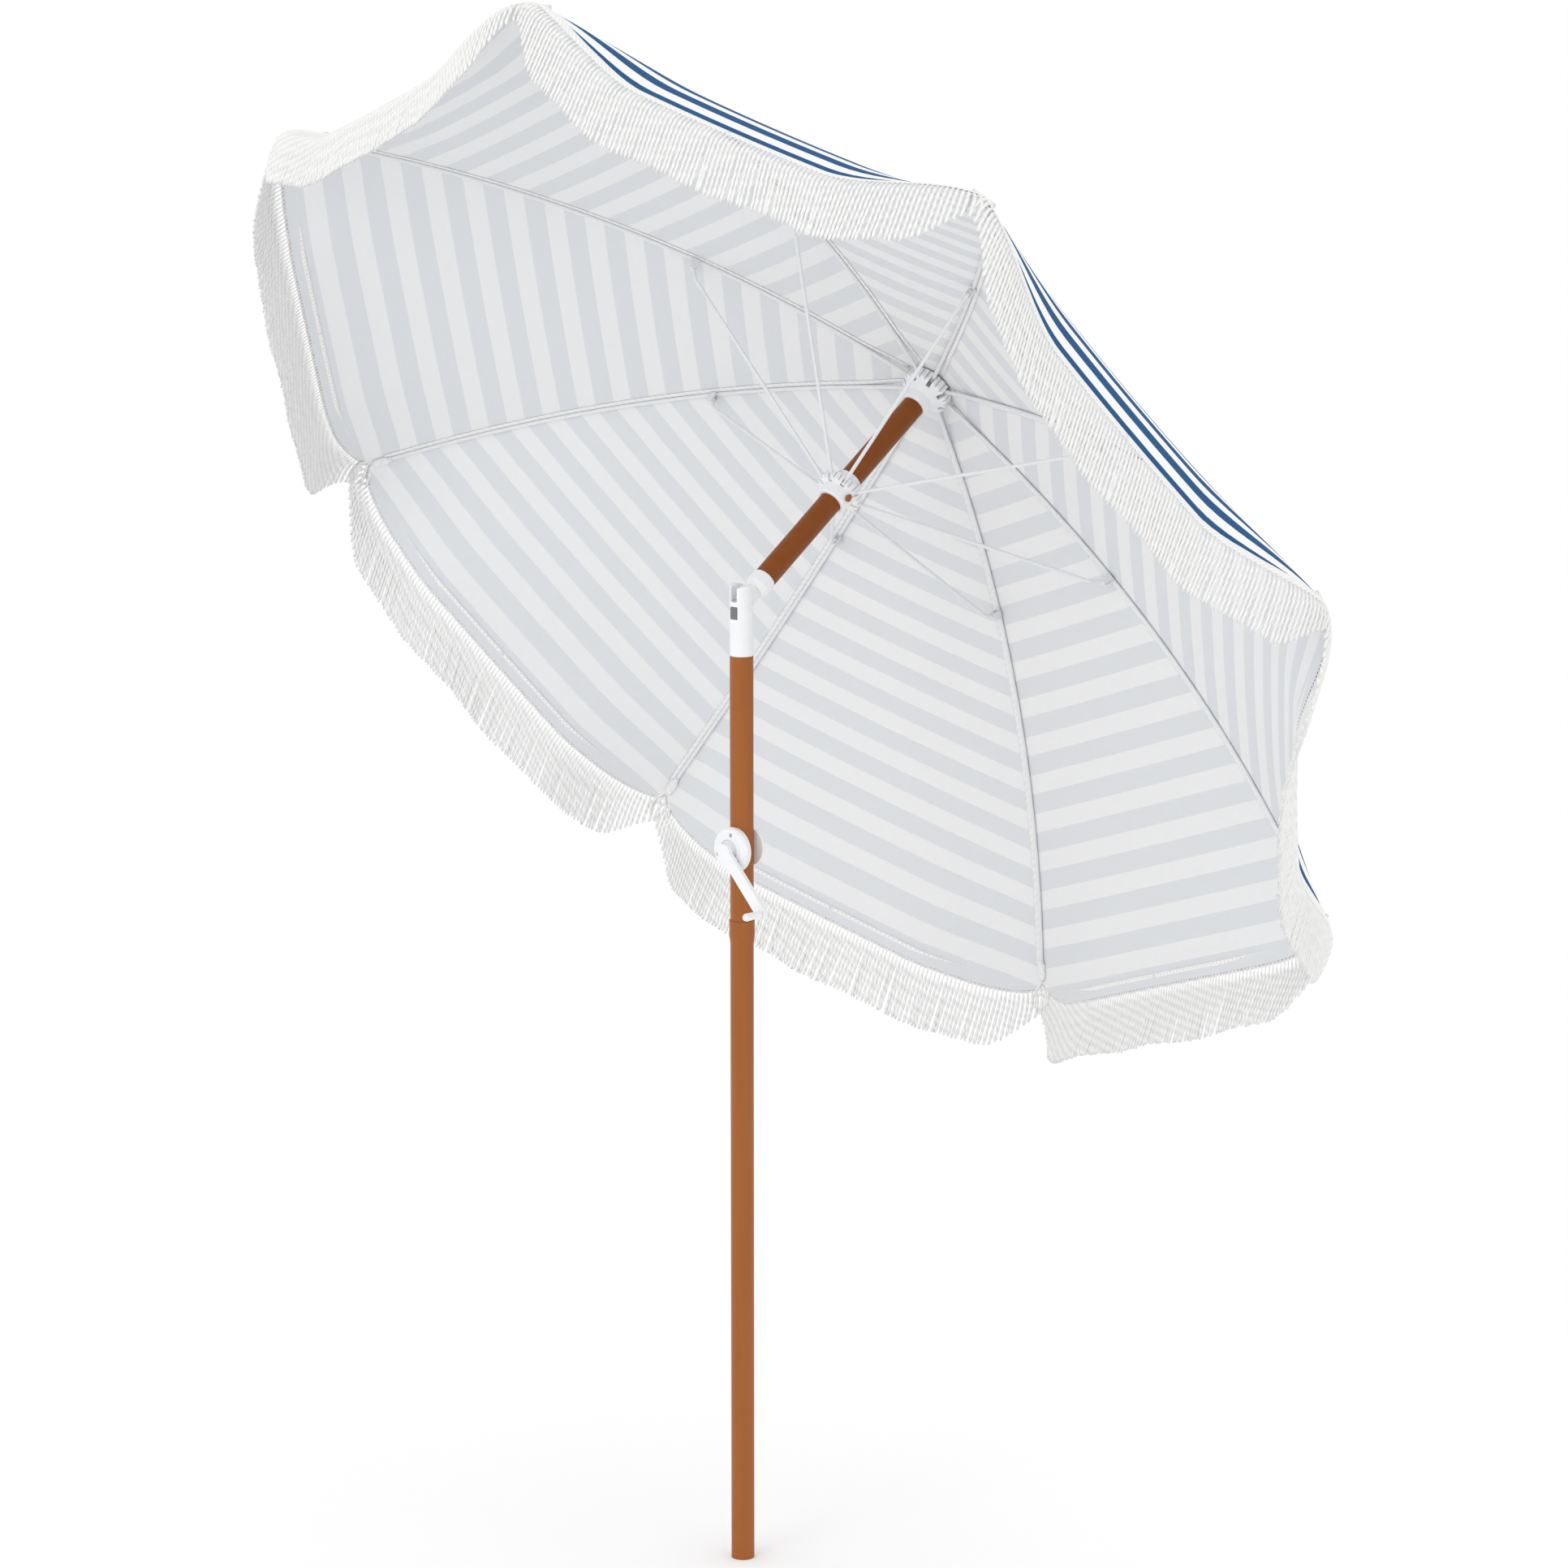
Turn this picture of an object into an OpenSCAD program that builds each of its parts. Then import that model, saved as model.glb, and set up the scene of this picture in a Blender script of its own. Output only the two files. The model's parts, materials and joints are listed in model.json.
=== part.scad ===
// Beach umbrella with a two-piece pole, a push-button tilt joint, a crank lift and a fringed canopy.
// +Z is up and the origin is the centre of the pole's bottom end. The mast leans towards +X.
// Upper parts are drawn in the mast's own frame, whose origin is the tilt pivot.

/* [Pole] */
// Outer diameter of the pole tubes
pole_d = 38; // [36:0.5:40]
// Wall of the pole tubes
wall = 1.4; // [1.2:0.1:2]
// Height of the joint between the two pole tubes
joint_z = 1081; // [1000:1:1100]
// Height at which the tilt bracket starts
bracket_z = 1515; // [1500:1:1530]
// Height of the tilt pivot
pivot_z = 1596; // [1590:1:1600]

/* [Tilt] */
// Lean of the mast from the vertical, degrees
tilt = 55.45; // [30:0.05:60]
// Mast length from the pivot to the rib hinges
hub_s = 539; // [530:1:550]

/* [Crank] */
// Height of the crank axle
crank_z = 1200; // [1190:1:1210]
// Distance from the axle to the knob
crank_throw = 122; // [100:1:130]
// Droop of the resting crank arm below the horizontal, degrees
crank_rest = 47; // [0:1:90]

/* [Frame] */
// Radius of the circle that the rib tips lie on
tip_r = 1027.75; // [1000:0.25:1040]
// Bending radius of the ribs
rib_bend = 2242; // [2200:1:2300]
// Diameter of a rib
rib_d = 6.5; // [5:0.1:7]
// Diameter of a strut
strut_d = 6; // [5:0.1:6.5]
// Distance from the pivot to the strut hinges
runner_s = 278; // [270:1:285]

/* [Canopy] */
// Length of fabric beyond the rib tips
flap = 62; // [40:1:80]
// Length of the fringe
fringe_len = 112; // [80:1:130]
// Inward sag of a panel as a share of the span between two ribs
panel_sag = 0.015; // [0:0.005:0.05]
// Extra droop of the hem, which no rib holds up, as a share of the same span
hem_droop = 0.065; // [0:0.005:0.08]
// Thickness of the canopy solid
cloth_t = 2.4; // [2:0.1:4]

/* [Hidden] */
$fn = 48;
RIBS = 8;
STEP = 360 / RIBS;
pr = pole_d / 2;
pin_r = pr - wall;
// Centre of the rib bend, measured from the hub
bend_x = -175;
bend_z = -sqrt(rib_bend * rib_bend - bend_x * bend_x);
hinge_r = 30;
runner_r = 29;
strut_at = 428.5;
clip_drop = 14;
// Half of the slit between two neighbouring canopy pieces
slit = 0.4;
apex_r = 21;
apex_lift = 9;
apex_run = 130;
cloth_gap = rib_d / 2 + 0.95;
// The droop fades out this far up from the hem, and this share of a step away from a rib
droop_run = 320;
droop_share = 0.3;
// Length of the fabric pocket past a rib's end
pocket = 12;
// Fringe direction in the mast frame: halfway between plumb and the mast axis
hang = unit([0.5 * sin(tilt), 0, -0.5 * cos(tilt) - 0.5]);

// Vectors and the curves of the frame

function unit(v) = v / norm(v);

// Angle from the vertical of the rib bend at radius r
function bend_at(r) = asin((r - bend_x) / rib_bend);

// Point in a rib's plane at an angle along the bend, raised off the rib's centre line
function rib_point(b, off = 0) =
    [bend_x + (rib_bend + off) * sin(b), 0, bend_z + (rib_bend + off) * cos(b)];

tip_b = bend_at(tip_r);
hinge_p = rib_point(bend_at(hinge_r));
clip_p = rib_point(bend_at(strut_at), -clip_drop);

// Canopy points: a is the turn from the rib towards its neighbour, as a share of the full step
function smooth(t) = t <= 0 ? 0 : t >= 1 ? 1 : t * t * (3 - 2 * t);
function lift(r) = apex_lift * (1 - smooth((r - apex_r) / apex_run));
function spin(p, a) = [p[0] * cos(a) - p[1] * sin(a), p[0] * sin(a) + p[1] * cos(a), p[2]];
function over_rib(b, off) =
    let (p = rib_point(b, off)) [p[0], 0, p[2] + lift(p[0])];
function sag_way(b) = [-sin(b), 0, -cos(b)];
function above_hem(b) = flap - (b - tip_b) * PI / 180 * rib_bend;
function droop(b, t) =
    hem_droop * pow(1 - min(above_hem(b) / droop_run, 1), 2) * smooth(t / droop_share);
function cloth(b, a, off) =
    let (p = over_rib(b, off), n = a < 0 ? -1 : 1, t = abs(a),
         q = spin(p, n * STEP), span = norm(p - q),
         w = spin(sag_way(b), a * STEP))
    p * (1 - t) + q * t + w * span * (panel_sag * 4 * t * (1 - t) + droop(b, t));

// Half the angular share of a canopy piece, less the slit
function half_share(b) = 0.5 - slit / (2 * rib_point(b)[0] * sin(STEP / 2));

// Fabric past the rib tips: it starts at the rib's pocket and rounds out to the full flap
corner = 0.16;
function flap_share(a) =
    let (t = min(abs(a) / corner, 1)) sqrt(max(0, 1 - (1 - t) * (1 - t)));
function edge_b(a) =
    tip_b + (pocket + (flap - pocket) * flap_share(a)) / rib_bend * 180 / PI;

module in_mast() {
    translate([0, 0, pivot_z]) rotate([0, tilt, 0]) children();
}

module at_hub() {
    in_mast() translate([0, 0, hub_s]) children();
}

module at_rib(k) {
    at_hub() rotate([0, 0, (k - 1) * STEP]) children();
}

module along_x(p) {
    translate(p) rotate([0, 90, 0]) children();
}

module along_y(p) {
    translate(p) rotate([-90, 0, 0]) children();
}

// A round bar between two points in the XZ plane
module bar(p, q, d) {
    v = q - p;
    translate(p) rotate([0, atan2(v[0], v[2]), 0]) cylinder(d = d, h = norm(v));
}

// A closed skin over a grid of points, rows long and columns wide, given outer and inner
module skin(outer, inner) {
    rows = len(outer);
    cols = len(outer[0]);
    n = rows * cols;
    pts = concat([for (r = outer) for (p = r) p], [for (r = inner) for (p = r) p]);
    function id(i, j) = i * cols + j;
    faces = concat(
        [for (i = [0:rows - 2]) for (j = [0:cols - 2])
            each [[id(i, j), id(i + 1, j), id(i, j + 1)],
                  [id(i + 1, j), id(i + 1, j + 1), id(i, j + 1)]]],
        [for (i = [0:rows - 2]) for (j = [0:cols - 2])
            each [[n + id(i, j), n + id(i, j + 1), n + id(i + 1, j)],
                  [n + id(i + 1, j), n + id(i, j + 1), n + id(i + 1, j + 1)]]],
        [for (i = [0:rows - 2]) each [[id(i, 0), n + id(i, 0), n + id(i + 1, 0)],
                                      [id(i, 0), n + id(i + 1, 0), id(i + 1, 0)]]],
        [for (i = [0:rows - 2]) each [[id(i, cols - 1), id(i + 1, cols - 1), n + id(i, cols - 1)],
                                      [id(i + 1, cols - 1), n + id(i + 1, cols - 1), n + id(i, cols - 1)]]],
        [for (j = [0:cols - 2]) each [[id(0, j), id(0, j + 1), n + id(0, j)],
                                      [id(0, j + 1), n + id(0, j + 1), n + id(0, j)]]],
        [for (j = [0:cols - 2]) each [[id(rows - 1, j), n + id(rows - 1, j), id(rows - 1, j + 1)],
                                      [id(rows - 1, j + 1), n + id(rows - 1, j), n + id(rows - 1, j + 1)]]]);
    polyhedron(pts, faces, convexity = 6);
}

// Pole

swage_h = 31;
spigot_h = 60;
plug_h = 24;

module pole_end_plug() {
    color("saddlebrown") rotate_extrude() polygon([
        [0, 0], [pin_r - 0.1, 0], [pin_r - 0.1, plug_h - 4], [pin_r - 3, plug_h], [0, plug_h]]);
}

module lower_pole() {
    swage_r = pr + 1.6;
    color("sienna") rotate_extrude($fn = 96) polygon([
        [pin_r, 0], [pr, 0], [pr, joint_z - swage_h - 8], [swage_r, joint_z - swage_h + 4],
        [swage_r, joint_z], [pr + 0.1, joint_z], [pr + 0.1, joint_z - swage_h],
        [pin_r, joint_z - swage_h - 4]]);
}

module upper_pole() {
    seat_z = joint_z - swage_h + 0.5;
    color("sienna") difference() {
        rotate_extrude($fn = 96) polygon([
            [pin_r - wall, seat_z - spigot_h], [pin_r - 0.1, seat_z - spigot_h],
            [pin_r - 0.1, seat_z - 4], [pr, seat_z], [pr, bracket_z], [pin_r, bracket_z],
            [pin_r, seat_z + 3], [pin_r - wall, seat_z]]);
        along_x([-pr - 5, 0, crank_z]) cylinder(r = shaft_r + 0.5, h = 2 * pr + 10);
    }
}

// Tilt joint

cheek_gap = 16.6;
dome_r = 34;
bolt_r = 4;
head_r = 5.6;
tongue_w = 16;
tongue_r = 10;
slot_floor = 12;
// Height of the button's centre and of its spring, below the pivot
button_drop = 10.8;
spring_drop = 16;
spring_seat = 8;
pocket_depth = 10.5;

module tilt_bracket() {
    color("white") difference() {
        union() {
            translate([0, 0, bracket_z]) cylinder(r = pr, h = pivot_z + dome_r - bracket_z, $fn = 96);
            translate([0, 0, bracket_z - 40]) cylinder(r = pin_r - 0.1, h = 41);
        }
        // domed top, round about the pivot
        difference() {
            translate([-pr - 1, -pr - 1, pivot_z + 10]) cube([2 * pr + 2, 2 * pr + 2, 30]);
            along_y([0, -pr - 2, pivot_z]) cylinder(r = dome_r, h = 2 * pr + 4, $fn = 96);
        }
        // slot for the yoke's tongue, open to the top and to the front
        translate([-14, -cheek_gap / 2, pivot_z - slot_floor]) cube([40, cheek_gap, 60]);
        translate([-pr - 2, -cheek_gap / 2 + 1.5, pivot_z + 7]) cube([10, cheek_gap - 3, 40]);
        // push-button pocket at the back
        translate([-pr - 2, -7.6, pivot_z - 21]) cube([pr + 2 - pocket_depth, 15.2, 20.4]);
        along_x([-pocket_depth - 1, 0, pivot_z - spring_drop])
            cylinder(r = 4.2, h = pocket_depth + 1 - spring_seat);
        // cord passage
        translate([cord_x, 0, bracket_z - 41]) cylinder(r = cord_r + 1, h = 110);
        along_y([0, -pr - 2, pivot_z]) cylinder(r = bolt_r, h = 2 * pr + 4);
        for (e = [0, 180]) rotate([0, 0, e]) along_y([0, pr - 4, pivot_z]) cylinder(r = head_r + 0.1, h = 10);
    }
}

module tilt_pivot_bolt() {
    color("white") {
        along_y([0, -pr + 2, pivot_z]) cylinder(r = bolt_r - 0.05, h = 2 * pr - 4);
        for (e = [0, 180]) rotate([0, 0, e]) along_y([0, pr - 3.9, pivot_z]) cylinder(r = head_r, h = 3.4);
    }
}

module tilt_button() {
    color("gray") translate([0, 0, pivot_z - button_drop]) {
        translate([-pr + 0.8, -7.1, -9.4]) cube([4.4, 14.2, 18.8]);
        for (i = [-1:1]) translate([-pr + 0.3, -7.1, i * 5 - 1]) cube([0.6, 14.2, 2]);
    }
}

module button_spring() {
    turns = 4;
    wire = 0.45;
    coil = 3.2;
    x0 = -pr + 5.6;
    x1 = -spring_seat - 0.5;
    rings = [for (i = [0:64]) let (a = i * 360 * turns / 64, x = x0 + (x1 - x0) * i / 64)
        [for (j = [0:5]) let (r = coil + wire * cos(j * 60))
            [x + wire * sin(j * 60), r * cos(a), pivot_z - spring_drop + r * sin(a)]]];
    color("silver") tube_mesh(rings);
}

// A closed tube through rings of points
module tube_mesh(rings) {
    n = len(rings);
    m = len(rings[0]);
    pts = [for (r = rings) for (p = r) p];
    faces = concat(
        [for (i = [0:n - 2]) for (j = [0:m - 1])
            let (a = i * m + j, b = i * m + (j + 1) % m)
            each [[a, a + m, b], [b, a + m, b + m]]],
        [[for (j = [0:m - 1]) j]],
        [[for (j = [m - 1:-1:0]) (n - 1) * m + j]]);
    polyhedron(pts, faces, convexity = 8);
}

// Crank lift

shaft_r = 4;
housing_r = 37;
housing_x = -31;
arm_x = -44;
arm_t = 7;
arm_w = 21;
knob_r = 6.5;
knob_l = 38;
drum_r = 9;
cord_r = 1.6;
// The lift cord runs beside the pivot, and bends where its two straight runs meet
cord_x = 8;
cord_meet = cord_x * tan(tilt / 2) + 1;

module crank_housing() {
    color("white") difference() {
        rotate([0, 0, 180]) along_x([17, 0, crank_z]) rotate_extrude($fn = 96)
            polygon([[0, 0], [housing_r, 0], [housing_r, 8], [housing_r - 3, 12],
                     [housing_r - 9, -housing_x - 17], [0, -housing_x - 17]]);
        translate([0, 0, crank_z - 50]) cylinder(r = pr + 0.05, h = 100, $fn = 96);
        along_x([-40, 0, crank_z]) cylinder(r = shaft_r + 0.1, h = 30);
        // ring groove round the arm's boss
        along_x([housing_x - 1, 0, crank_z]) difference() {
            cylinder(r = 18, h = 3);
            translate([0, 0, -1]) cylinder(r = 15, h = 5);
        }
        for (i = [0:2]) along_x([housing_x - 1, 0, crank_z])
            rotate([0, 0, 70 + i * 120]) translate([26, 0, 0]) cylinder(r = 3.4, h = 3.4);
    }
}

module crank_back_cover() {
    color("white") difference() {
        along_x([16, 0, crank_z]) rotate_extrude($fn = 96)
            polygon([[0, 0], [31, 0], [31, 4], [27, 9], [20, 12], [0, 13]]);
        translate([0, 0, crank_z - 50]) cylinder(r = pr + 0.05, h = 100, $fn = 96);
        along_x([10, 0, crank_z]) cylinder(r = shaft_r + 0.1, h = 14);
    }
}

module housing_screws() {
    color("silver") for (i = [0:2]) along_x([housing_x + 0.4, 0, crank_z])
        rotate([0, 0, 70 + i * 120]) translate([26, 0, 0]) difference() {
            cylinder(r = 3.2, h = 1.9);
            translate([-3, -0.4, -0.1]) cube([6, 0.8, 0.7]);
        }
}

module crank_shaft() {
    color("silver") along_x([arm_x + 1, 0, crank_z]) cylinder(r = shaft_r, h = 66);
}

module cord_drum() {
    color("silver") along_x([-11, 0, crank_z]) rotate_extrude()
        polygon([[shaft_r, 0], [12, 0], [12, 2], [drum_r, 3], [drum_r, 19], [12, 20], [12, 22],
                 [shaft_r, 22]]);
}

module arm_frame() {
    translate([arm_x, 0, crank_z]) rotate([crank_rest - 180, 0, 0]) children();
}

module crank_arm() {
    color("white") difference() {
        arm_frame() rotate([0, 90, 0]) union() {
            cylinder(r = 13, h = arm_t);
            translate([0, 0, arm_t - 0.5]) cylinder(r = 12, h = 5.9);
            translate([-arm_w / 2, 0, 0]) cube([arm_w, crank_throw + 2, arm_t]);
            translate([0, crank_throw, 0]) cylinder(r = arm_w / 2, h = arm_t);
        }
        along_x([arm_x + 1, 0, crank_z]) cylinder(r = shaft_r, h = 20);
        arm_frame() translate([-1, crank_throw, 0]) rotate([0, 90, 0]) cylinder(r = 2.5, h = 9);
    }
}

module crank_knob() {
    color("white") arm_frame() translate([-0.4, crank_throw, 0]) rotate([0, -90, 0]) {
        rotate_extrude() polygon([[0, 0], [knob_r - 1, 0], [knob_r, 1], [knob_r - 0.6, 14],
                                  [knob_r, knob_l - 6], [knob_r - 1.6, knob_l - 2],
                                  [knob_r - 4, knob_l], [0, knob_l]]);
        translate([0, 0, -arm_t + 0.4]) cylinder(r = 2.45, h = arm_t);
    }
}

module lift_cord_lower() {
    drum_p = [5, drum_r + cord_r + 0.3, crank_z];
    bend_p = [cord_x, 0, bracket_z - 45];
    run = bend_p - drum_p;
    color("ivory") {
        translate(drum_p) rotate([0, acos(run[2] / norm(run)), atan2(run[1], run[0])])
            cylinder(r = cord_r, h = norm(run));
        translate(bend_p) sphere(r = cord_r + 0.1);
        translate(bend_p) cylinder(r = cord_r, h = pivot_z - cord_meet - bend_p[2]);
    }
}

// Mast, in the mast frame

module mast_tube() {
    slot_w = 5;
    color("sienna") in_mast() difference() {
        translate([0, 0, 44]) cylinder(r = pr, h = hub_s - 46, $fn = 96);
        translate([0, 0, 43]) cylinder(r = pin_r, h = hub_s, $fn = 96);
        translate([-slot_w / 2, 5, 76]) cube([slot_w, 20, runner_s - 62]);
    }
}

module tilt_yoke() {
    color("white") in_mast() difference() {
        union() {
            rotate_extrude($fn = 96) polygon([
                [0, 35.5], [14, 35.5], [pr + 0.4, 41], [pr + 1.6, 44], [pr + 1.6, 62], [pr + 0.6, 64],
                [pr + 0.05, 64], [pr + 0.05, 44], [0, 44]]);
            translate([-13, -tongue_w / 2, 0]) cube([26, tongue_w, 36]);
            along_y([0, -tongue_w / 2, 0]) cylinder(r = tongue_r, h = tongue_w);
        }
        along_y([0, -20, 0]) cylinder(r = bolt_r + 0.05, h = 40);
        // room for the lift cord
        translate([cord_x - 2.8, -2.5, -14]) cube([8, 5, 50]);
        rotate([0, -tilt, 0]) translate([cord_x - 2.8, -2.5, -14]) cube([8, 5, 14]);
        translate([cord_x, 0, 20]) cylinder(r = cord_r + 0.9, h = 30);
    }
}

module top_hub() {
    rim = 42;
    color("white") at_hub() difference() {
        rotate_extrude($fn = 96) polygon([
            [pr + 0.05, -46], [pr + 2, -46], [pr + 3.5, -43], [pr + 7, -30], [rim - 6, -17],
            [rim, -13], [rim, 4], [rim - 3, 6], [apex_r - 3, 6], [apex_r - 3, -1.5], [pr + 0.05, -1.5]]);
        for (k = [0:RIBS - 1]) rotate([0, 0, k * STEP]) {
            translate([24, -3.6, -20]) cube([rim, 7.2, 40]);
            for (e = [-1, 1]) rotate([0, 0, e * STEP / 3])
                translate([rim - 3.5, -1.6, -16]) cube([10, 3.2, 40]);
        }
        translate([0, 0, hinge_p[2]]) rotate_extrude($fn = 96)
            translate([hinge_r, 0]) circle(r = 1.3, $fn = 24);
    }
}

module hub_ring_wire() {
    color("silver") at_hub() translate([0, 0, hinge_p[2]]) rotate_extrude($fn = 96)
        translate([hinge_r, 0]) circle(r = 1.25, $fn = 24);
}

pulley_z = -16;

module cord_pulley() {
    groove_r = cord_x - cord_r - 0.1;
    color("silver") at_hub() {
        along_y([0, -3, pulley_z]) rotate_extrude() polygon([
            [2, 0], [10, 0], [10, 0.8], [groove_r, 1.3], [groove_r, 4.7], [10, 5.2], [10, 6], [2, 6]]);
        along_y([0, -pin_r + 0.4, pulley_z]) cylinder(r = 1.95, h = 2 * pin_r - 0.8);
    }
}

module lift_cord_upper() {
    top = hub_s + pulley_z;
    end = runner_s - 4;
    color("ivory") in_mast() {
        translate([cord_x, 0, cord_meet]) cylinder(r = cord_r, h = top - cord_meet);
        translate([0, 0, top]) rotate([90, 0, 0]) rotate_extrude(angle = 180, $fn = 96)
            translate([cord_x, 0]) circle(r = cord_r, $fn = 24);
        translate([-cord_x, 0, end]) cylinder(r = cord_r, h = top - end);
    }
}

module canopy_cap() {
    z = apex_lift;
    color("white") at_hub() rotate_extrude($fn = 96) polygon([
        [9.4, z + 5.6], [22, z + 5.2], [46, z + 2], [46.6, z + 3.2], [40, z + 6.6], [26, z + 9.4],
        [9.4, z + 11.2]]);
}

module finial() {
    z = apex_lift + 11.3;
    color("white") at_hub() rotate_extrude($fn = 96) polygon([
        [0, -4], [pin_r - 0.3, -4], [pin_r - 0.3, 5.6], [9.2, 6.6], [9.2, z], [13, z], [14, z + 4.5],
        [10, z + 8.5], [9.4, z + 13], [12, z + 18], [12.4, z + 24], [9, z + 31], [4, z + 34],
        [0, z + 34.6]]);
}

// Runner, in the mast frame

screw_z = runner_s - 12;
slide_gap = 0.5;

module runner() {
    rim = 39;
    color("white") in_mast() difference() {
        rotate_extrude($fn = 96) polygon([
            [pr + slide_gap, runner_s - 26], [pr + 4.5, runner_s - 26], [pr + 6.5, runner_s - 23],
            [pr + 8.5, runner_s - 6.2], [rim, runner_s - 4], [rim, runner_s + 8],
            [rim - 3, runner_s + 10], [pr + 6, runner_s + 10], [pr + 5, runner_s + 27],
            [pr + 3, runner_s + 29], [pr + slide_gap, runner_s + 29]]);
        for (k = [0:RIBS - 1]) rotate([0, 0, k * STEP]) {
            translate([23.8, -3.6, runner_s - 6]) cube([rim, 7.2, 20]);
            translate([pr + 3, -3.6, runner_s + 4]) cube([rim, 7.2, 30]);
            for (e = [-1, 1]) rotate([0, 0, e * STEP / 3])
                translate([rim - 3.5, -1.6, runner_s - 20]) cube([10, 3.2, 40]);
        }
        translate([0, 0, runner_s]) rotate_extrude($fn = 96)
            translate([runner_r, 0]) circle(r = 1.3, $fn = 24);
        along_y([0, -40, screw_z]) cylinder(r = 2.5, h = 80);
    }
}

module runner_ring_wire() {
    color("silver") in_mast() translate([0, 0, runner_s]) rotate_extrude($fn = 96)
        translate([runner_r, 0]) circle(r = 1.25, $fn = 24);
}

module screw_head() {
    rotate_extrude() polygon([[0, 0], [5.6, 0], [5.6, 2.6], [4.6, 3.8], [0, 4.4]]);
}

module runner_screws() {
    head_y = pr + 8.6;
    color("sienna") in_mast() translate([0, 0, screw_z]) {
        along_y([0, head_y, 0]) screw_head();
        mirror([0, 1, 0]) along_y([0, head_y, 0]) screw_head();
        along_y([0, 8, 0]) cylinder(r = 2.3, h = head_y - 7);
        along_y([0, -head_y - 1, 0]) cylinder(r = 2.3, h = 8.5);
    }
}

module cord_carrier() {
    color("silver") in_mast() difference() {
        translate([0, 0, runner_s - 30]) cylinder(r = pin_r - 0.3, h = 26);
        translate([cord_x, 0, runner_s - 40]) cylinder(r = cord_r + 0.6, h = 60);
        along_y([0, 7.8, screw_z]) cylinder(r = 2.4, h = 30);
    }
}

// Ribs and struts

module rib(k) {
    cap_l = 24;
    cap_d = 9.2;
    cap_drop = 1.6;
    b0 = bend_at(hinge_r + 5);
    color("gainsboro") at_rib(k) {
        difference() {
            union() {
                translate([bend_x, 0, bend_z]) rotate([90, 0, 0]) rotate([0, 0, 90 - tip_b])
                    rotate_extrude(angle = tip_b - b0, $fn = 360)
                        translate([rib_bend, 0]) circle(d = rib_d);
                along_y([hinge_p[0], -3.2, hinge_p[2]]) cylinder(r = 4.4, h = 6.4);
                bar(hinge_p + [2, 0, 0], rib_point(bend_at(hinge_r + 7)), 6);
            }
            along_y([hinge_p[0], -10, hinge_p[2]]) cylinder(r = 1.6, h = 20);
        }
        clip();
        // end cap, a little fatter than the rib
        bar(rib_point(tip_b - cap_l / rib_bend * 180 / PI, -cap_drop), rib_point(tip_b, -cap_drop), cap_d);
    }
}

// The clip under a rib, with the pin that the strut's eye hangs on
module clip() {
    translate(clip_p) rotate([0, bend_at(strut_at), 0]) {
        difference() {
            union() {
                translate([-6, -6, -1]) cube([12, 12, clip_drop + 0.5]);
                along_y([0, -6, 0]) cylinder(r = 5, h = 12);
            }
            translate([-12, -3.5, -7]) cube([24, 7, clip_drop + 4]);
        }
        along_y([0, -6.6, 0]) cylinder(r = 1.2, h = 13.2);
    }
}

module strut(k) {
    knee = clip_p + [-17, 0, -17];
    foot = [runner_r, 0, runner_s - hub_s];
    lead = unit(knee - foot);
    rise = unit(clip_p - knee);
    color("gainsboro") at_rib(k) difference() {
        union() {
            bar(foot + 3 * lead, knee, strut_d);
            translate(knee) sphere(d = strut_d + 0.4);
            bar(knee, clip_p - 3 * rise, strut_d);
            along_y(foot - [0, 3, 0]) cylinder(r = 4.4, h = 6);
            along_y(clip_p - [0, 2.9, 0]) cylinder(r = 5.4, h = 5.8);
        }
        along_y(foot - [0, 10, 0]) cylinder(r = 1.6, h = 20);
        along_y(clip_p - [0, 10, 0]) cylinder(r = 4, h = 20);
    }
}

// Canopy and fringe, one piece of each over each rib

rows = 18;
cols = 14;
// Columns stand closer together near the rib, where the corners are
share = [for (j = [0:cols]) let (t = 2 * j / cols - 1) (t < 0 ? -1 : 1) * pow(abs(t), 1.4)];
first_b = bend_at(apex_r);
// Rows stand closer together near the hub and near the hem
function rise(i) = i / rows - 0.35 * sin(360 * i / rows) / (2 * PI);

function canopy_point(i, j, off) =
    let (half = half_share(first_b + (tip_b - first_b) * rise(max(i, 0.4))),
         b = first_b + (edge_b(share[j] * 0.5) - first_b) * rise(i))
    cloth(b, share[j] * half, off);

module canopy(k) {
    outer = [for (i = [0:rows]) [for (j = [0:cols]) canopy_point(i, j, cloth_gap + cloth_t)]];
    inner = [for (i = [0:rows]) [for (j = [0:cols]) canopy_point(i, j, cloth_gap)]];
    color("steelblue") at_rib(k) skin(outer, inner);
}

function hem_point(j) = canopy_point(rows, j, cloth_gap + cloth_t / 2);
function hem_way(j) = unit(hem_point(min(j + 1, cols)) - hem_point(max(j - 1, 0)));
// The way out of the cloth, square to the hem
function hem_out(j) =
    let (a = share[j] * 0.5, b = edge_b(a))
    unit(cross(hem_way(j), spin([sin(b), 0, cos(b)], a * STEP)));

module fringe(k) {
    down = spin(hang, -(k - 1) * STEP);
    start = cloth_t / 2 + 0.6;
    function fall(side) = [for (d = [0, 0.35, 0.7, 1]) [for (j = [0:cols])
        hem_point(j) + hem_out(j) * start + down * d * (fringe_len - start)
        + unit(cross(down, hem_way(j))) * side * cloth_t / 2]];
    color("white") at_rib(k) skin(fall(1), fall(-1));
}

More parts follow.
